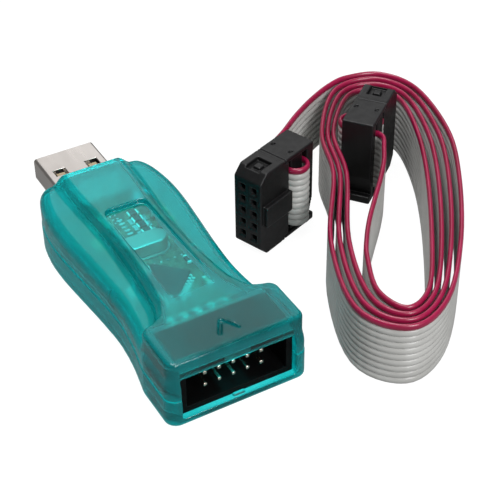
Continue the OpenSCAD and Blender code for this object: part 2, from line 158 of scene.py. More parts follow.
# Half width of the raised spine, which runs out past both ends of the case
SPINE = 5.8
spine_side = [(HALF_W + 4, -4)] + curve_through(
    [(HALF_W + 4, BLOCK_L - 1.2), (HALF_W - 0.4, BLOCK_L - 0.4), (SPINE + 4.3, BLOCK_L),
     (SPINE + 2.7, BLOCK_L + 1), (SPINE + 1.8, BLOCK_L + 3), (SPINE + 1, BLOCK_L + 6), (SPINE + 0.3, 24),
     (SPINE, 33), (SPINE + 0.3, 41), (SPINE + 0.8, 48), (SPINE + 0.9, CASE_L + 4)], CURVE_STEPS)
# Height of the shoulders beside the spine, at the block and at the plug end
SHOULDER_Z = (9.6, 11.4)
SHOULDER_R = 2.1
SPINE_FOOT_R = 1.3
# Rounding of the spine's top edge: along the block, behind it and at the plug end
CREST_R = (0.7, 1.4, 1.9)
BASE_R = 0.45


def whole(side):
    """Both sides of an outline, from its side at positive x."""
    return side + [(-p[0], p[1]) for p in reversed(side)]


def shoulder(y):
    """Height of the shoulders, rising evenly towards the plug."""
    return SHOULDER_Z[0] + (SHOULDER_Z[1] - SHOULDER_Z[0]) * (y - BLOCK_L) / (CASE_L - BLOCK_L)


LABEL = dict(half_w=4.0, front=17.3, back=40.7, deep=0.8, r=1.4)
# The mouth in the header end, up to the rim of the header housing
OPENING_LOW = (-10.25, -1, MID_Z - 4.345)
OPENING_HIGH = (10.25, 0.78, MID_Z + 3.505)
# Room left round the header housing and round the USB plug
SEAT_GAP = 0.06
PLUG_GAP = 0.12
# The wall behind the housing slopes back above SLOPE_Z
SLOPE_Z = 9.5
SEAT_SLOPE = 0.6


def case_body(x, y, z):
    """Outside of the closed case: shoulders, the raised spine and the header block."""
    plan = outline(whole(case_side), x, y)
    crest = meet(CORNER_R, plan, outline(whole(spine_side), x, y))
    sides = meet(SHOULDER_R, plan, z - shoulder(y))
    spine = meet(np.interp(y, (BLOCK_L - 1, BLOCK_L + 4, CASE_L), CREST_R), crest, z - CASE_H)
    return meet(BASE_R, join(SPINE_FOOT_R, sides, spine), -z), plan


def case_space(x, y, z):
    """Inside of the closed case, with the seat of the header housing."""
    plan = outline(whole(case_side), x, y)
    crest = np.maximum(plan, outline(whole(spine_side), x, y)) + WALL
    room = np.minimum(meet(0.8, plan + WALL, z - shoulder(y) + WALL),
                      meet(0.5, crest, z - CASE_H + WALL))
    back_of_seat = housing_high[1] + SEAT_SLOPE * np.maximum(z - SLOPE_Z, 0) - y
    room = meet(0.4, room, FLOOR_T - z, back_of_seat)
    gap = np.array([SEAT_GAP, 0, SEAT_GAP])
    seat = block(x, y, z, housing_low - gap, housing_high + gap + np.array([0, WALL, 0]))
    return np.minimum(room, seat)


def case_holes(x, y, z):
    """The mouth for the header and the hole for the USB plug."""
    opening = block(x, y, z, OPENING_LOW, OPENING_HIGH, 0.35)
    plug_gap = np.array([PLUG_GAP, 0, PLUG_GAP])
    plug = block(x, y, z, usb_low - plug_gap, usb_high + plug_gap, 0.4)
    return np.minimum(opening, plug)


def label_pocket(x, y, z):
    """A pocket in the spine that fades out towards the header."""
    run = LABEL["back"] - LABEL["front"]
    sink = LABEL["deep"] * np.clip((y - LABEL["front"]) / run, -1, 1.2)
    plan = meet(LABEL["r"], span(x, -LABEL["half_w"], LABEL["half_w"]), y - LABEL["back"])
    return meet(0.1, plan, CASE_H - sink - z)


ARROW = dict(tip_y=5.9, length=3.6, half_stroke=0.24, deep=0.4, spread=math.radians(30))


def arrow(x, y, z):
    """Pin-one arrow: two thin strokes that meet at a point."""
    c, s = math.cos(ARROW["spread"]), math.sin(ARROW["spread"])
    away = np.abs(x) * c + (y - ARROW["tip_y"]) * s
    along = np.abs(x) * s - (y - ARROW["tip_y"]) * c
    stroke = np.maximum(np.abs(away) - ARROW["half_stroke"], np.maximum(-along, along - ARROW["length"]))
    return stroke + np.maximum(CASE_H - ARROW["deep"] - z, 0)


POST_X = 7.4
POST_Y = (16.5, 46.5)
POST_R = 1.1
HOOK_Y = (24.6, 47.6)
HOOK_HALF_W = 1
HOOK_T = 0.45
HOOK_TOP = 8.5


def posts(x, y, z, low, high):
    """The round posts that the board rests on."""
    distance = reduce(np.minimum, [np.hypot(np.abs(x) - POST_X, y - at) for at in POST_Y])
    return meet(0.1, distance - POST_R, low - z, z - high)


def hooks(x, y, z):
    """Snap hooks that hang from the upper shell behind its side walls."""
    side = case_side[len(corner):]
    parts = []
    for at in HOOK_Y:
        wall_x = np.interp(at, [p[1] for p in side], [p[0] for p in side]) - WALL
        low = (wall_x - HOOK_T, at - HOOK_HALF_W, SPLIT_Z - 2)
        high = (wall_x + 0.3, at + HOOK_HALF_W, HOOK_TOP)
        parts.append(block(np.abs(x), y, z, low, high, 0.15))
    return reduce(np.minimum, parts)


def lip(x, y, z, plan, inner, outer, high):
    """The band along the parting line where the shells overlap, open at the block and at the plug.

    It lies between two depths, outer and inner, below the outside of the side walls.
    """
    band = np.maximum(plan + outer, -(plan + inner))
    ring = meet(0.05, band, SPLIT_Z - 0.2 - z, z - high)
    plug_room = block(x, y, z, (-7, CASE_L - 4, 0), (7, CASE_L + 2, 20))
    return np.maximum(ring, np.maximum(BLOCK_L + 4 - y, -plug_room))


# Half of the gap seen along the parting line, and the rounding of its edges
PARTING = 0.03
PARTING_R = 0.22
# How far the foot under the case is set in, and its height
FOOT_IN = 0.5
FOOT_H = 0.5


def upper_field(x, y, z):
    """The upper shell."""
    body, plan = case_body(x, y, z)
    shell = cut(0.12, body, case_space(x, y, z))
    shell = cut(0.3, shell, case_holes(x, y, z))
    shell = cut(0.25, shell, label_pocket(x, y, z))
    shell = cut(0.05, shell, arrow(x, y, z))
    shell = meet(PARTING_R, shell, SPLIT_Z + PARTING - z)
    shell = np.maximum(shell, -lip(x, y, z, plan, inner=2, outer=0.6, high=SPLIT_Z + 0.9))
    return np.minimum(shell, np.maximum(hooks(x, y, z), body + 0.5))


def lower_field(x, y, z):
    """The lower shell, with a foot set in, board posts and a bump on the lip of the mouth."""
    body, plan = case_body(x, y, z)
    foot = meet(0.2, plan + FOOT_IN, z - 1, -z)
    body = np.minimum(meet(0.3, body - 0.1, FOOT_H - z), foot)
    shell = cut(0.12, body, case_space(x, y, z))
    shell = cut(0.3, shell, case_holes(x, y, z))
    bump = block(x, y, z, (-1.1, 0.02, 1), (1.1, 0.7, OPENING_LOW[2] + 0.35), 0.2)
    shell = np.minimum(shell, bump)
    shell = meet(PARTING_R, shell, z - SPLIT_Z + PARTING)
    shell = np.minimum(shell, lip(x, y, z, plan, inner=WALL, outer=0.72, high=SPLIT_Z + 0.8))
    return np.minimum(shell, posts(x, y, z, FLOOR_T - 0.3, board_lowest[2] - 0.02))


# ---- Meshes from fields ----
def slope_of(field, p, h=0.02):
    """Gradient of a field at each point."""
    out = np.empty_like(p)
    for axis in range(3):
        step = np.zeros(3)
        step[axis] = h
        a, b = p + step, p - step
        out[:, axis] = (field(*a.T) - field(*b.T)) / (2 * h)
    return out


def surface(field, low, high, size, rounds=3):
    """Points and quads where the field is zero, relaxed along the surface and drawn onto it."""
    counts = [int(math.ceil((b - a) / size)) + 1 for a, b in zip(low, high)]
    axes = [low[i] + size * np.arange(counts[i]) for i in range(3)]
    x, y, z = np.meshgrid(*axes, indexing="ij", sparse=True)
    values = np.broadcast_to(field(x, y, z), counts).astype(np.float32)
    grid = openvdb.FloatGrid(10.0)
    grid.copyFromArray(np.ascontiguousarray(np.clip(values, -3 * size, 3 * size)))
    points, quads = grid.convertToQuads(0)
    points = np.array(low) + size * points.astype(float)
    quads = quads.astype(np.int64)
    flat = quads.ravel()
    neighbours = np.roll(quads, 1, axis=1).ravel(), np.roll(quads, -1, axis=1).ravel()
    share = 2 * np.bincount(flat, minlength=len(points))
    for turn in range(rounds):
        if turn:
            mean = np.stack([sum(np.bincount(flat, points[n, k], len(points)) for n in neighbours) / share
                             for k in range(3)], 1)
            points += 0.5 * (mean - points)
        # A step to where the field is zero, at most 0.6 of a cell
        slope = slope_of(field, points)
        squared = np.maximum((slope ** 2).sum(1), 0.25)
        shift = -(field(*points.T) / squared)[:, None] * slope
        reach = np.linalg.norm(shift, axis=1)[:, None]
        points += shift * np.minimum(1, 0.6 * size / np.maximum(reach, 1e-9))
    a, b, c = (points[quads[:, i]] for i in (0, 1, 2))
    normal = np.cross(b - a, c - a)
    outward = (normal * slope_of(field, (a + c) / 2)).sum()
    if outward < 0:
        quads = quads[:, ::-1]
    return points, quads


def mesh_object(name, points, faces, smooth=True):
    """A mesh from points in millimetres."""
    mesh = bpy.data.meshes.new(name)
    faces = np.asarray(faces)
    mesh.vertices.add(len(points))
    mesh.vertices.foreach_set("co", ((np.asarray(points) + DATUM) * MM).astype(np.float32).ravel())
    sides = faces.shape[1]
    mesh.loops.add(faces.size)
    mesh.loops.foreach_set("vertex_index", faces.astype(np.int32).ravel())
    mesh.polygons.add(len(faces))
    mesh.polygons.foreach_set("loop_start", np.arange(0, faces.size, sides, dtype=np.int32))
    mesh.polygons.foreach_set("use_smooth", np.full(len(faces), smooth))
    mesh.update(calc_edges=True)
    mesh.validate()
    made = bpy.data.objects.new(name, mesh)
    bpy.context.scene.collection.objects.link(made)
    return made


# ---- Materials ----
class Nodes:
    """Short calls for building one material's node tree."""

    def __init__(self, name):
        self.material = bpy.data.materials.new(name)
        self.material.use_nodes = True
        self.tree = self.material.node_tree
        self.tree.nodes.clear()
        self.out = self.tree.nodes.new("ShaderNodeOutputMaterial")
        self.place = self.add("ShaderNodeTexCoord").outputs["Object"]

    def add(self, kind, settings=None, **inputs):
        """A node. An input goes by its name, with _ for each space, or by i and its number."""
        node = self.tree.nodes.new(kind)
        for key, value in (settings or {}).items():
            setattr(node, key, value)
        for key, value in inputs.items():
            by_number = key[0] == "i" and key[1:].isdigit()
            socket = node.inputs[int(key[1:]) if by_number else key.replace("_", " ")]
            if isinstance(value, bpy.types.NodeSocket):
                self.tree.links.new(value, socket)
            else:
                socket.default_value = value
        return node

    def noise(self, scale, detail=3.0, stretch=None):
        """Fine mottling fixed to the piece, from 0 to 1."""
        place = self.place
        if stretch:
            place = self.add("ShaderNodeMapping", Vector=place, Scale=stretch).outputs["Vector"]
        return self.add("ShaderNodeTexNoise", Vector=place, Scale=scale, Detail=detail).outputs["Fac"]

    def ramp(self, value, low, high, start=0.3, end=0.7):
        """A number or a colour that goes from low to high as value goes from start to end."""
        if isinstance(low, (int, float)):
            return self.add("ShaderNodeMapRange", Value=value, From_Min=start, From_Max=end,
                            To_Min=low, To_Max=high).outputs["Result"]
        share = self.ramp(value, 0.0, 1.0, start, end)
        return self.mix(share, low, high)

    def mix(self, share, a, b):
        """Colour a, or colour b where share is 1."""
        a, b = ((*v, 1) if isinstance(v, tuple) and len(v) == 3 else v for v in (a, b))
        return self.add("ShaderNodeMix", {"data_type": "RGBA"}, i0=share, i6=a, i7=b).outputs[2]

    def math(self, kind, a, b=0.0):
        """One sum on two values."""
        return self.add("ShaderNodeMath", {"operation": kind}, i0=a, i1=b).outputs[0]

    def bump(self, height, strength, distance=0.0001):
        node = self.add("ShaderNodeBump", Height=height, Strength=strength, Distance=distance)
        return node.outputs["Normal"]

    def edge_wear(self, low=0.5, high=0.56):
        """0 on flats and 1 along raised edges."""
        point = self.add("ShaderNodeNewGeometry").outputs["Pointiness"]
        return self.ramp(point, 0.0, 1.0, low, high)

    def done(self, surface_shader, volume=None):
        """The material, once its output is joined up."""
        self.tree.links.new(surface_shader, self.out.inputs["Surface"])
        if volume:
            self.tree.links.new(volume, self.out.inputs["Volume"])
        return self.material


def plain(name, dark, light, rough, scale=900.0, metallic=0.0, bump=0.15, coat=0.0, wear=None, stretch=None,
          ior=1.5):
    """Moulded plastic, metal or ceramic: colour and gloss vary finely, with a matching grain."""
    n = Nodes(name)
    grain = n.noise(scale, 4.0, stretch)
    patches = n.noise(scale / 9, 2.0)
    color = n.ramp(patches, dark, light)
    if wear:
        color = n.mix(n.edge_wear(), color, wear)
    gloss = n.ramp(grain, rough * 0.85, rough * 1.15)
    shader = n.add("ShaderNodeBsdfPrincipled", Base_Color=color, Roughness=gloss, Metallic=metallic, IOR=ior,
                   Coat_Weight=coat, Normal=n.bump(grain, bump, 0.00005))
    return n.done(shader.outputs[0])


def teal_plastic(name, absorb, haze):
    """Clear tinted polycarbonate: a finely textured inside, a polished label window and seat, a soft haze.
    Painted light and shade: flat faces get a pale tint and more haze, steep faces a dark tint and less haze.

    absorb is what a millimetre takes from red, green and blue; haze is the share of light that scatters.
    """
    n = Nodes(name)
    xyz = n.add("ShaderNodeSeparateXYZ", Vector=n.place).outputs
    side = n.math("ABSOLUTE", xyz["X"])
    at_y = n.math("SUBTRACT", xyz["Y"], DATUM[1] * MM)

    def fades(value, gone, full):
        """0 to 1 as a place goes from gone to full, in millimetres."""
        return n.ramp(value, 0.0, 1.0, gone * MM, full * MM)

    def product(*parts):
        """All the parts multiplied."""
        return reduce(lambda a, b: n.math("MULTIPLY", a, b), parts)

    window = product(n.math("LESS_THAN", side, LABEL["half_w"] * MM),
                     fades(at_y, LABEL["front"] - 4, LABEL["front"] + 1),
                     n.math("LESS_THAN", at_y, LABEL["back"] * MM))
    seat = product(fades(side, housing_high[0] + 0.5, housing_high[0]), fades(at_y, 0.9, 1.3),
                   fades(at_y, housing_high[1] + 0.3, housing_high[1] - 0.3))
    skin = n.noise(260.0, 3.0)
    inner = n.add("ShaderNodeAttribute", {"attribute_name": "inner"}).outputs["Fac"]
    rough = n.math("ADD", n.math("MULTIPLY", inner, 0.3), n.ramp(skin, 0.05, 0.13))
    rough = n.mix(window, rough, (0.03, 0.03, 0.03, 1))
    grain = n.noise(1500.0, 2.0)
    normal = n.add("ShaderNodeNewGeometry").outputs["True Normal"]
    lean = n.math("ABSOLUTE", n.add("ShaderNodeSeparateXYZ", Vector=normal).outputs["Z"])
    # Painted light and shade: flat faces take a pale tint and more haze, steep sides a dark teal tint and
    # less haze, as if lit from above
    painted_top_light_share = n.ramp(lean, 0.0, 1.0, 0.3, 0.95)
    tint_with_painted_side_shade = n.mix(painted_top_light_share, (0.16, 0.5, 0.52), (0.8, 1, 1))
    glass = n.add("ShaderNodeBsdfPrincipled", Base_Color=tint_with_painted_side_shade, Transmission_Weight=1.0, IOR=1.45,
                  Roughness=rough, Normal=n.bump(grain, 0.05, 0.00005))
    mist = n.add("ShaderNodeBsdfDiffuse", Color=n.ramp(skin, (0.01, 0.5, 0.5), (0.02, 0.6, 0.6)))
    glow = n.add("ShaderNodeBsdfTranslucent", Color=(0.02, 0.9, 0.9, 1))
    soft = n.add("ShaderNodeMixShader", i0=0.6, i1=mist.outputs[0], i2=glow.outputs[0])
    clear = product(n.ramp(window, 1.0, 0.5, 0.0, 1.0), n.ramp(seat, 1.0, 0.25, 0.0, 1.0))
    lobes = n.ramp(side, 0.75, 2.2, (SPINE - 0.3) * MM, (SPINE + 2.2) * MM)
    scattered = product(n.ramp(painted_top_light_share, 0.45, 1.0, 0.0, 1.0), lobes, clear, haze)
    look = n.add("ShaderNodeMixShader", i0=scattered, i1=glass.outputs[0], i2=soft.outputs[0])
    shadow = n.add("ShaderNodeLightPath").outputs["Is Shadow Ray"]
    through = n.add("ShaderNodeBsdfTransparent", Color=(0.55, 0.93, 0.93, 1))
    shader = n.add("ShaderNodeMixShader", i0=shadow, i1=look.outputs[0], i2=through.outputs[0])
    density = max(absorb)
    color = tuple(1 - a / density for a in absorb) + (1,)
    depth = n.add("ShaderNodeVolumeAbsorption", Color=color, Density=density / MM)
    return n.done(shader.outputs[0], depth.outputs[0])


def solder_mask(name):
    """Dark olive solder mask over thin copper tracks."""
    n = Nodes(name)
    cells = n.add("ShaderNodeTexVoronoi", {"feature": "DISTANCE_TO_EDGE", "distance": "MANHATTAN"},
                  Vector=n.place, Scale=420.0, Randomness=0.6).outputs["Distance"]
    track = n.ramp(cells, 1.0, 0.0, 0.05, 0.09)
    weave = n.noise(1400.0, 2.0)
    olive = n.ramp(weave, (0.05, 0.052, 0.038), (0.07, 0.072, 0.055))
    color = n.mix(track, olive, (0.12, 0.13, 0.09))
    shader = n.add("ShaderNodeBsdfPrincipled", Base_Color=color, Roughness=n.ramp(weave, 0.3, 0.42),
                   Coat_Weight=0.3, Normal=n.bump(track, 0.3, 0.00003))
    return n.done(shader.outputs[0])


def ribbon_vinyl(name, dark, light, sheen):
    """Glossy vinyl insulation with slight mottling along each wire."""
    n = Nodes(name)
    mottle = n.noise(180.0, 3.0)
    fine = n.noise(1600.0, 2.0)
    color = n.ramp(mottle, dark, light, 0.35, 0.65)
    shader = n.add("ShaderNodeBsdfPrincipled", Base_Color=color, Roughness=n.ramp(fine, 0.3, 0.44),
                   Coat_Weight=sheen, Coat_Roughness=0.2, Normal=n.bump(fine, 0.06, 0.00004))
    return n.done(shader.outputs[0])


MATERIALS = {
    "case_top": teal_plastic("teal_top", (1.5, 0.1, 0.095), 0.13),
    "case_base": teal_plastic("teal_base", (1.5, 0.1, 0.095), 0.2),
    "board": solder_mask("solder_mask"),
    "plug_metal": plain("plug_steel", (0.6, 0.56, 0.53), (0.72, 0.68, 0.65), 0.3, 700.0, 1.0, 0.08,
                        stretch=(1, 0.12, 1)),
    "spring_bronze": plain("spring_bronze", (0.42, 0.33, 0.2), (0.52, 0.42, 0.28), 0.35, 900.0, 0.8),
    "black_plastic": plain("black_nylon", (0.003, 0.003, 0.0033), (0.006, 0.006, 0.0065), 0.42,
                           wear=(0.015, 0.015, 0.016), ior=1.42),
    "header_black": plain("header_nylon", (0.0015, 0.0015, 0.0016), (0.003, 0.003, 0.0032), 0.6, 1200.0,
                          ior=1.2),
    "gold_plate": plain("gold_plate", (0.66, 0.6, 0.5), (0.78, 0.72, 0.62), 0.22, 1200.0, 1.0),
    "tinned": plain("tinned", (0.75, 0.75, 0.72), (0.88, 0.88, 0.85), 0.4, 1500.0, 0.3),
    "solder": plain("solder", (0.6, 0.6, 0.62), (0.75, 0.75, 0.77), 0.3, 1500.0, 1.0),
    "chip_black": plain("chip_epoxy", (0.02, 0.02, 0.022), (0.035, 0.035, 0.038), 0.5, 1500.0),
    "can_metal": plain("can_steel", (0.42, 0.42, 0.4), (0.5, 0.5, 0.48), 0.34, 900.0, 1.0, 0.1),
    "capacitor_tan": plain("capacitor_tan", (0.34, 0.27, 0.19), (0.42, 0.34, 0.24), 0.5, 1500.0),
    "capacitor_yellow": plain("capacitor_yellow", (0.22, 0.18, 0.11), (0.28, 0.24, 0.15), 0.4, 900.0),
    "diode_glass": plain("diode_glass", (0.55, 0.2, 0.1), (0.7, 0.3, 0.15), 0.1, 900.0, coat=1.0),
    "led_red": plain("led_red", (0.7, 0.08, 0.05), (0.85, 0.15, 0.1), 0.2, 900.0, coat=0.6),
    "led_blue": plain("led_blue", (0.5, 0.75, 0.85), (0.65, 0.88, 0.95), 0.2, 900.0, coat=0.6),
    "ribbon_grey": ribbon_vinyl("ribbon_grey", (0.5, 0.5, 0.48), (0.58, 0.58, 0.56), 0.3),
    "ribbon_red": ribbon_vinyl("ribbon_red", (0.27, 0.003, 0.042), (0.34, 0.006, 0.06), 0.4),
}


def use(made, body, look, *stands_for):
    """Rides a piece on its body, in one of the looks, in place of the CAD nodes it stands for."""
    made.data.materials.clear()
    made.data.materials.append(MATERIALS[look])
    if body:
        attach(made, body)
    if stands_for:
        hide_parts(*stands_for)
    return made


# ---- Shells ----
CASE_CELL = 0.24
margin = 3 * CASE_CELL


def shell(name, field, low_z, high_z, body, look, node):
    """One half of the case. Its inner attribute is 1 where a point lies well inside the outer skin."""
    low = (-HALF_W - margin, -margin, low_z - margin)
    high = (HALF_W + margin, CASE_L + margin, high_z + margin)
    points, quads = surface(field, low, high, CASE_CELL)
    made = mesh_object(name, points, quads)
    depth = np.clip(-case_body(*points.T)[0] / 0.5, 0, 1)
    made.data.attributes.new("inner", "FLOAT", "POINT").data.foreach_set("value", depth.astype(np.float32))
    return use(made, body, look, node)


shell("case_top_shell", upper_field, SPLIT_Z, CASE_H, "cover", "case_top", "upper_shell")
shell("case_bottom_shell", lower_field, 0, SPLIT_Z + 0.8, "programmer", "case_base", "lower_shell")


# ---- Softened copies of CAD nodes ----
def softened(node, body, look, width, segments=2):
    """A copy of a CAD node with its faces merged and its sharp edges rounded, in place of the node."""
    made = bpy.data.objects.new(node + "_finished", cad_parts[node].data.copy())
    bpy.context.scene.collection.objects.link(made)
    weld = made.modifiers.new("weld", "WELD")
    weld.merge_threshold = 1e-6
    merge = made.modifiers.new("merge", "DECIMATE")
    merge.decimate_type = "DISSOLVE"
    merge.angle_limit = math.radians(1)
    bevel = made.modifiers.new("bevel", "BEVEL")
    bevel.width = width * MM
    bevel.segments = segments
    bevel.limit_method = "ANGLE"
    bevel.angle_limit = math.radians(35)
    made.modifiers.new("normals", "WEIGHTED_NORMAL")
    made.data.polygons.foreach_set("use_smooth", np.ones(len(made.data.polygons), bool))
    return use(made, body, look, node)


# Each node with its look and the width of its rounded edges
for node, look, width in (
        ("header_housing", "header_black", 0.12), ("header_pins", "gold_plate", 0.1),
        ("header_solder", "solder", 0.25), ("usb_shell", "plug_metal", 0.07),
        ("usb_insulator", "black_plastic", 0.1), ("usb_contacts", "gold_plate", 0.05),
        ("microcontroller", "chip_black", 0.12), ("microcontroller_leads", "tinned", 0.03),
        ("crystal_can", "can_metal", 0.3), ("crystal_base", "can_metal", 0.1),
        ("chip_resistors", "chip_black", 0.05), ("chip_capacitors", "capacitor_tan", 0.08),
        ("chip_terminals", "tinned", 0.08), ("bulk_capacitor", "capacitor_yellow", 0.15),
        ("zener_diodes", "diode_glass", 0.05), ("zener_end_caps", "can_metal", 0.12),
        ("power_led", "led_red", 0.12), ("activity_led", "led_blue", 0.12),
        ("led_terminals", "solder", 0.06)):
    softened(node, "programmer", look, width)
for side in "ab":
    softened("socket_contacts_" + side, "plug_" + side, "gold_plate", 0.03, 1)

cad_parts["circuit_board"].data.materials.clear()
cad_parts["circuit_board"].data.materials.append(MATERIALS["board"])


# ---- Ribbon path ----
# Middle of the coil on the bench, and the heading of its long axis
COIL_AT = np.array([43.2, 22.7])
COIL_TURN = math.radians(61)
# Spokes fan out from the middle of the coil: place along it, heading, innermost distance, growth a turn
SPOKES = ((-22, 180, 10.7, 1.5), (-24, 135, 5.5, 1.26), (-15, 90, 5.65, 1.64), (4, 90, 6.75, 1.9),
          (18, 90, 6.2, 1.9), (24, 45, 5.85, 1.68), (24, 0, 7, 1.95), (24, -45, 6.8, 1.6),
          (17, -90, 8.05, 1.08), (4, -90, 6.3, 1.17), (-15, -90, 6.8, 1.53), (-24, -135, 6.3, 1.85))
# Middle of each socket's mating face, and the heading from there into the socket
SOCKETS = {"a": (20.1, 32.6, 20.6), "b": (56.65, 45.05, 218.4)}
SOCKET_L = 17.5
SOCKET_T = 6.0
WIRES = 10
WIRE = 1.27
RIBBON_T = 0.85
RIBBON_W = WIRES * WIRE
# The ribbon crosses a socket at PASS_TWO, folds round at FOLD_Q and comes back through PASS_ONE
PASS_ONE = 8.4
FOLD_R = 2.1
PASS_TWO = PASS_ONE + 2 * FOLD_R
FOLD_Q = 0.5 - SOCKET_T / 2
# How far the ribbon rises from the bench to the middle of a socket
LIFT = (SOCKET_L - RIBBON_W) / 2


def crossing(k):
    """Where the coil crosses spoke k, counted from its inner end, in the coil's own place."""
    u, heading, r, growth = SPOKES[k % len(SPOKES)]
    r += growth * k / len(SPOKES)
    return u + r * math.cos(math.radians(heading)), r * math.sin(math.radians(heading))


def on_bench(u, v):
    """A place in the coil, with u along it, as a place on the bench."""
    c, s = math.cos(COIL_TURN), math.sin(COIL_TURN)
    return COIL_AT + (u * c + v * s, u * s - v * c)


def from_socket(side, p, q):
    """A socket's own place: p runs in from its mating face, q towards its exit side."""
    x, y, heading = SOCKETS[side]
    c, s = math.cos(math.radians(heading)), math.sin(math.radians(heading))
    return np.array([x + p * c - q * s, y + p * s + q * c])


def into_socket(side):
    """The ribbon's way through a socket: in, round the fold and back."""
    bend = [from_socket(side, PASS_ONE + FOLD_R + FOLD_R * math.cos(a), FOLD_Q + FOLD_R * math.sin(a))
            for a in np.radians(np.arange(-15, -181, -15))]
    exit_q = SOCKET_T / 2
    return ([from_socket(side, PASS_TWO, q) for q in (exit_q, 0, FOLD_Q)] + bend
            + [from_socket(side, PASS_ONE, q) for q in (0, exit_q - 0.05)])


# The coil from its inner end to its outer end, then the free stretch from the coil to each socket
coil = [on_bench(-19.5, -5.35)] + [on_bench(*crossing(k)) for k in range(-1, 42)] + [on_bench(37.6, 1.6)]
free_a = [on_bench(*p) for p in ((36.2, -5), (32.8, -8.7), (27.2, -12.3), (20.6, -15.6), (14.4, -18.2))]
free_a += [from_socket("a", PASS_TWO, SOCKET_T / 2 + q) for q in (1.6, 0.3)]
free_b = [on_bench(*p)
          for p in ((-14.8, -5.05), (-9.9, -4.2), (-4.9, -2.9), (0.2, -1.5), (5, -0.5), (9, -0.15))]
free_b += [from_socket("b", PASS_TWO + 0.7 * (q - 0.3), SOCKET_T / 2 + q) for q in (1.6, 0.3)]
STEPS = 6
end_b = (free_b + into_socket("b"))[::-1]
whole_path = np.array(curve_through(end_b + coil + free_a + into_socket("a"), STEPS))
fold_n = len(into_socket("b"))
# Where each stretch of the path begins and ends, as places in whole_path
marks = np.cumsum([0, fold_n, len(free_b), len(coil) - 1, 1 + len(free_a), fold_n - 1]) * STEPS
B_END, B_EXIT, COIL_START, COIL_END, A_EXIT, A_END = marks
# Length of ribbon from its start to each place
run = np.concatenate([[0], np.cumsum(np.linalg.norm(np.diff(whole_path, axis=0), axis=1))])


def smooth(t):
    """From 0 to 1, level at both ends."""
    t = np.clip(t, 0, 1)
    return t * t * (3 - 2 * t)


# Height of the ribbon's lower edge, which lies on the bench in the coil
rise = LIFT * (smooth((run[COIL_START] - run) / (run[COIL_START] - run[B_EXIT]))
               + smooth((run - run[COIL_END]) / (run[A_EXIT] - run[COIL_END])))
# Thickness of the web between two wires
WEB_T = 0.14


def along_path(s):
    """Places in plan after s millimetres of ribbon."""
    return np.stack([np.interp(s, run, whole_path[:, i]) for i in (0, 1)], 1)


def ribbon(name, first, last, wires, spacing=0.55):
    """Wires side by side, moulded together, along one stretch of the path."""
    count = max(2, int((run[last] - run[first]) / spacing))
    s = np.linspace(run[first], run[last], count)
    path = along_path(s)
    way = along_path(s + 0.25) - along_path(s - 0.25)
    way /= np.linalg.norm(way, axis=1)[:, None]
    side = np.stack([-way[:, 1], way[:, 0]], 1)
    height = np.interp(s, run, rise)
    profile = []
    for wire in wires:
        for a in np.radians(np.arange(0, 181 if wire == wires[-1] else 180, 20)):
            along = -math.cos(a) * WIRE / 2
            outer_end = (wire == 0 and along < 0) or (wire == WIRES - 1 and along > 0)
            web = 0.0 if outer_end else WEB_T / 2
            profile.append((web + (RIBBON_T / 2 - web) * math.sin(a), (wire + 0.5) * WIRE + along))
    ring = [(h, z) for h, z in profile] + [(-h, z) for h, z in reversed(profile)]
    # At an outer edge the two sides share a point
    keep = [i for i, (h, z) in enumerate(ring) if h or i == 0 or ring[i - 1][0] != h or ring[i - 1][1] != z]
    ring = np.array([ring[i] for i in keep])
    m = len(ring)
    points = np.empty((count, m, 3))
    points[:, :, :2] = path[:, None, :] + side[:, None, :] * ring[None, :, 0, None]
    points[:, :, 2] = height[:, None] + ring[None, :, 1]
    i, j = np.meshgrid(np.arange(count - 1), np.arange(m), indexing="ij")
    k = (j + 1) % m
    quads = np.stack([i * m + j, i * m + k, (i + 1) * m + k, (i + 1) * m + j], -1).reshape(-1, 4)
    made = mesh_object(name, points.reshape(-1, 3), quads)
    cap_ends(made)
    return made


def cap_ends(made):
    """Closes a tube's two ends and turns every face outwards."""
    work = bmesh.new()
    work.from_mesh(made.data)
    bmesh.ops.remove_doubles(work, verts=work.verts, dist=1e-7)
    for edge in work.edges:
        edge.smooth = not edge.is_boundary
    bmesh.ops.holes_fill(work, edges=work.edges, sides=0)
    bmesh.ops.recalc_face_normals(work, faces=work.faces)
    work.to_mesh(made.data)
    work.free()


for colour, wires in (("grey", list(range(WIRES - 1))), ("red", [WIRES - 1])):
    look = "ribbon_" + colour
    made = ribbon("ribbon_coil_" + colour + "_wires", COIL_START, COIL_END, wires)
    use(made, "cable", look, "ribbon_coil_" + colour)
    made = ribbon("ribbon_a_" + colour + "_wires", COIL_END, A_END, wires, 0.4)
    use(made, None, look, "ribbon_tail_a_" + colour, "ribbon_fold_a_" + colour)
    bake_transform(made)
    made = ribbon("ribbon_b_" + colour + "_wires", B_END, COIL_START, wires, 0.4)
    use(made, None, look, "ribbon_tail_b_" + colour, "ribbon_fold_b_" + colour)
    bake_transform(made)


# ---- Ribbon sockets ----
# Between two contacts
PITCH = 2.54
# Where the crimp cover and the strain relief's bar begin and end, from the mating face
COVER = (8.875, 12.125)
RELIEF = (13.075, 14.9)
# Thickness of the strain relief's legs, and where they begin
LEG_T = 0.85
LEG_START = 7.02
# Where the contact block's wide part and its narrower neck end
BLOCK_END = 6.95
NECK_END = 7.92


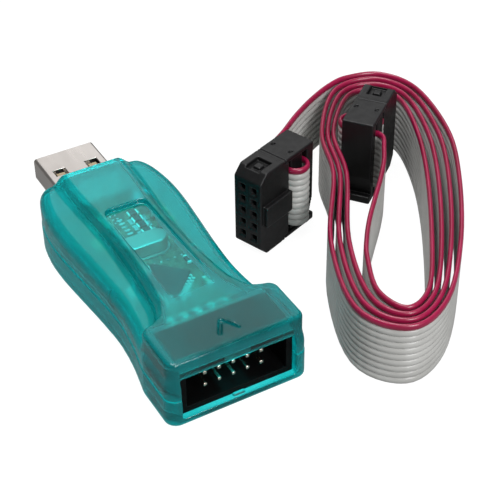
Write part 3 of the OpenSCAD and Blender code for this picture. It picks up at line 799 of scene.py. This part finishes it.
def socket_body_field(p, q, z):
    """The contact block: chamfered nose, polarising key, pull pocket and ten holes."""
    half = SOCKET_T / 2
    from_end = SOCKET_L / 2 - np.abs(z - SOCKET_L / 2)
    nose = block(p, q, z, (0, -half, 0), (BLOCK_END, half, SOCKET_L), 0.15)
    nose = meet(0.2, nose, (1.7 - p - from_end) / math.sqrt(2))
    neck = block(p, q, z, (6, -half, LEG_T + 0.05), (NECK_END, half, SOCKET_L - LEG_T - 0.05), 0.1)
    key_low = (0.8, -half - 0.9, SOCKET_L / 2 - 2.1)
    key = block(p, q, z, key_low, (NECK_END, -half + 0.5, SOCKET_L / 2 + 2.1), 0.15)
    body = join(0.08, np.minimum(nose, neck), key)
    pocket = meet(0.1, span(p, 1.4, 4.9), span(q, -1.6, 1.6), from_end - 0.8)
    bump = meet(0.15, span(p, 2.5, 3.9), span(q, -0.7, 0.7), span(from_end, 0.25, 1.5))
    body = np.minimum(cut(0.08, body, pocket), bump)
    groove = meet(0.02, span(p, 6.2, 6.4), from_end - 0.1)
    body = np.maximum(body, -groove)
    across = np.abs(q) - PITCH / 2
    row = (z - SOCKET_L / 2) / PITCH
    down = (row - np.clip(np.round(row), -2, 2)) * PITCH
    half_hole = 0.47 + np.clip(0.35 - p, 0, 0.4)
    hole = np.maximum(np.maximum(np.abs(across), np.abs(down)) - half_hole, p - 7.5)
    return cut(0.04, body, hole)


def cover_field(p, q, z):
    """The bar that presses the ribbon onto the contacts."""
    low = (COVER[0], 0.3 - SOCKET_T / 2, LEG_T + 0.07)
    high = (COVER[1], SOCKET_T / 2, SOCKET_L - LEG_T - 0.07)
    return block(p, q, z, low, high, 0.2)


def relief_field(p, q, z):
    """The strain relief: a bar across the back, a leg at each end and a thicker toe on the lower leg."""
    half = SOCKET_T / 2
    from_end = np.minimum(z, SOCKET_L - z)
    bar = block(p, q, z, (RELIEF[0], -half, 0), (RELIEF[1], half, SOCKET_L), 0.2)
    waist = np.interp(z, (1.7, 2.9, 5.5), (0.9, 0.7, 0.0))
    bar = np.maximum(bar, p - RELIEF[1] + waist)
    foot = block(p, q, z, (LEG_START, -half, 0), (RELIEF[1] + 0.4, half, 1.55), 0.3)
    foot = np.maximum(foot, np.minimum(z - LEG_T, RELIEF[0] - p))
    legs = block(p, q, z, (LEG_START, -half, SOCKET_L - LEG_T), (RELIEF[0] + 0.5, half, SOCKET_L), 0.1)
    whole_part = reduce(np.minimum, (bar, foot, legs))
    dimples = meet(0.05, span(p, 9.2, 10.0), span(np.abs(q), 1.7, 2.3), from_end - 0.3)
    return cut(0.06, whole_part, dimples)


SOCKET_CELL = 0.15
room = 3 * SOCKET_CELL
for side, (at_x, at_y, heading) in SOCKETS.items():
    turn = Matrix.Rotation(math.radians(heading), 3, "Z")
    for part, field, low, high in (
            ("socket_body", socket_body_field, (0, -3.9, 0), (8, 3, SOCKET_L)),
            ("crimp_cover", cover_field, (8.8, -3, 0.5), (12.2, 3, SOCKET_L - 0.5)),
            ("strain_relief", relief_field, (7, -3, 0), (15.4, 3, SOCKET_L))):
        points, quads = surface(field, [v - room for v in low], [v + room for v in high], SOCKET_CELL)
        points = points @ np.array(turn).T + (at_x, at_y, 0)
        made = mesh_object(f"{part}_{side}_moulded", points, quads)
        use(made, "plug_" + side, "black_plastic", f"{part}_{side}")


# ---- Board details ----
def boxes(name, spots, body, look):
    """Many small plates as one piece; a spot is its lowest and highest corner."""
    points, quads = [], []
    for low, high in spots:
        n = len(points)
        points += [(x, y, z) for x in (low[0], high[0]) for y in (low[1], high[1]) for z in (low[2], high[2])]
        quads += [[n + i for i in f] for f in ((0, 1, 3, 2), (4, 6, 7, 5), (0, 4, 5, 1), (2, 3, 7, 6),
                                               (0, 2, 6, 4), (1, 5, 7, 3))]
    made = mesh_object(name, points, quads, smooth=False)
    bevel = made.modifiers.new("bevel", "BEVEL")
    bevel.width = 0.02 * MM
    return use(made, body, look)


BOARD_Z = board_highest[2]


def pad(x, y, w, h, t=0.06):
    """A thin plate on the board, as its lowest and highest corner."""
    return (x - w / 2, y - h / 2, BOARD_Z), (x + w / 2, y + h / 2, BOARD_Z + t)


pads = [pad(s * 1.25 + x, y, 0.9, 1.5)
        for x, y in ((3.1, 38.2), (3.1, 40.2), (3.1, 42.2), (-3.2, 38.2), (-3.2, 40.2)) for s in (-1, 1)]
pads += [pad(0.2, 37 + 1.1 * i, 1.1, 0.45) for i in range(7)]
pads += [pad(x, 19.2, 0.6, 1.2) for x in np.arange(-6, 7, 1.5)]
boxes("board_pads", pads, "programmer", "solder")
vias = [pad(-1.6 + 0.9 * (i % 3), 43.2 + 1.1 * (i // 3), 0.35, 0.35) for i in range(9)]
vias += [pad(-6.5 + 1.3 * i, 29.3, 0.35, 0.35) for i in range(11)]
boxes("board_vias", vias, "programmer", "solder")
# The leaf springs seen through the plug's windows
springs = [((x - 0.8, usb_high[1] - 7.1, usb_high[2] - 0.62),
            (x + 0.8, usb_high[1] - 5.9, usb_high[2] - 0.42)) for x in (-3.2, 3.2)]
boxes("plug_springs", springs, "programmer", "spring_bronze")


# ---- Floor, light and camera ----
def stage_floor(half=1200, z=-0.03):
    """White paper: bright to the camera, a little less through the plastic, and dim as a source of light."""
    made = mesh_object("floor", [(-half, -half, z), (half, -half, z), (half, half, z), (-half, half, z)],
                       [[0, 1, 2, 3]])
    n = Nodes("paper_floor")
    shade = n.noise(8.0, 2.0)
    paper = n.add("ShaderNodeBsdfDiffuse", Color=n.ramp(shade, (0.11, 0.11, 0.11), (0.13, 0.13, 0.13)))
    ray = n.add("ShaderNodeLightPath").outputs
    seen = n.math("MAXIMUM", ray["Is Camera Ray"], n.math("MULTIPLY", ray["Is Transmission Ray"], 0.9))
    lit = n.add("ShaderNodeEmission", Color=(1, 1, 1, 1), Strength=n.ramp(seen, 0.15, 0.95, 0.0, 1.0))
    both = n.add("ShaderNodeAddShader", i0=paper.outputs[0], i1=lit.outputs[0])
    made.data.materials.append(n.done(both.outputs[0]))


def area_light(name, place, size, power, towards=(20, 25, 0)):
    """A square soft light, its size in millimetres and its power in watts."""
    light = bpy.data.lights.new(name, "AREA")
    light.size = size * MM
    light.energy = power
    holder = bpy.data.objects.new(name, light)
    bpy.context.scene.collection.objects.link(holder)
    holder.location = in_frame(*place)
    holder.rotation_euler = (Vector(towards) - Vector(place)).to_track_quat("-Z", "Y").to_euler()


# The camera's heading, height and roll in degrees, its place and its lens
CAMERA_TURN = (-29.45, 38.65, -0.63)
CAMERA_AT = (-75.86, -139.08, 157.79)
LENS = 100.47
SHIFT = (-0.0058, -0.0020)


def camera():
    """The camera looks down at the header end from the front left."""
    azimuth, elevation, roll = (math.radians(a) for a in CAMERA_TURN)
    right = Vector((math.cos(azimuth), math.sin(azimuth), 0))
    back = Vector((math.sin(azimuth) * math.cos(elevation), -math.cos(azimuth) * math.cos(elevation),
                   math.sin(elevation)))
    up = back.cross(right)
    turned_right = math.cos(roll) * right + math.sin(roll) * up
    turned_up = -math.sin(roll) * right + math.cos(roll) * up
    data = bpy.data.cameras.new("camera")
    data.lens = LENS
    data.sensor_width = 36
    data.shift_x, data.shift_y = SHIFT
    data.clip_start = 0.001
    holder = bpy.data.objects.new("camera", data)
    bpy.context.scene.collection.objects.link(holder)
    spot = Matrix((turned_right, turned_up, back)).transposed().to_4x4()
    spot.translation = in_frame(*CAMERA_AT)
    holder.matrix_world = spot
    bpy.context.scene.camera = holder


stage_floor()
world = bpy.data.worlds.new("studio")
bpy.context.scene.world = world
world.use_nodes = True
background = world.node_tree.nodes["Background"]
background.inputs["Color"].default_value = (1, 1, 1, 1)
background.inputs["Strength"].default_value = 0.14
area_light("overhead", (0, 60, 400), size=220, power=1.2)
area_light("rear_softbox", (200, 360, 310), size=300, power=0.3)
area_light("front_fill", (40, -340, 270), size=200, power=1.4)
camera()
scene = bpy.context.scene
scene.view_settings.view_transform = "Standard"
scene.cycles.max_bounces = 24
scene.cycles.transmission_bounces = 24
scene.cycles.transparent_max_bounces = 48
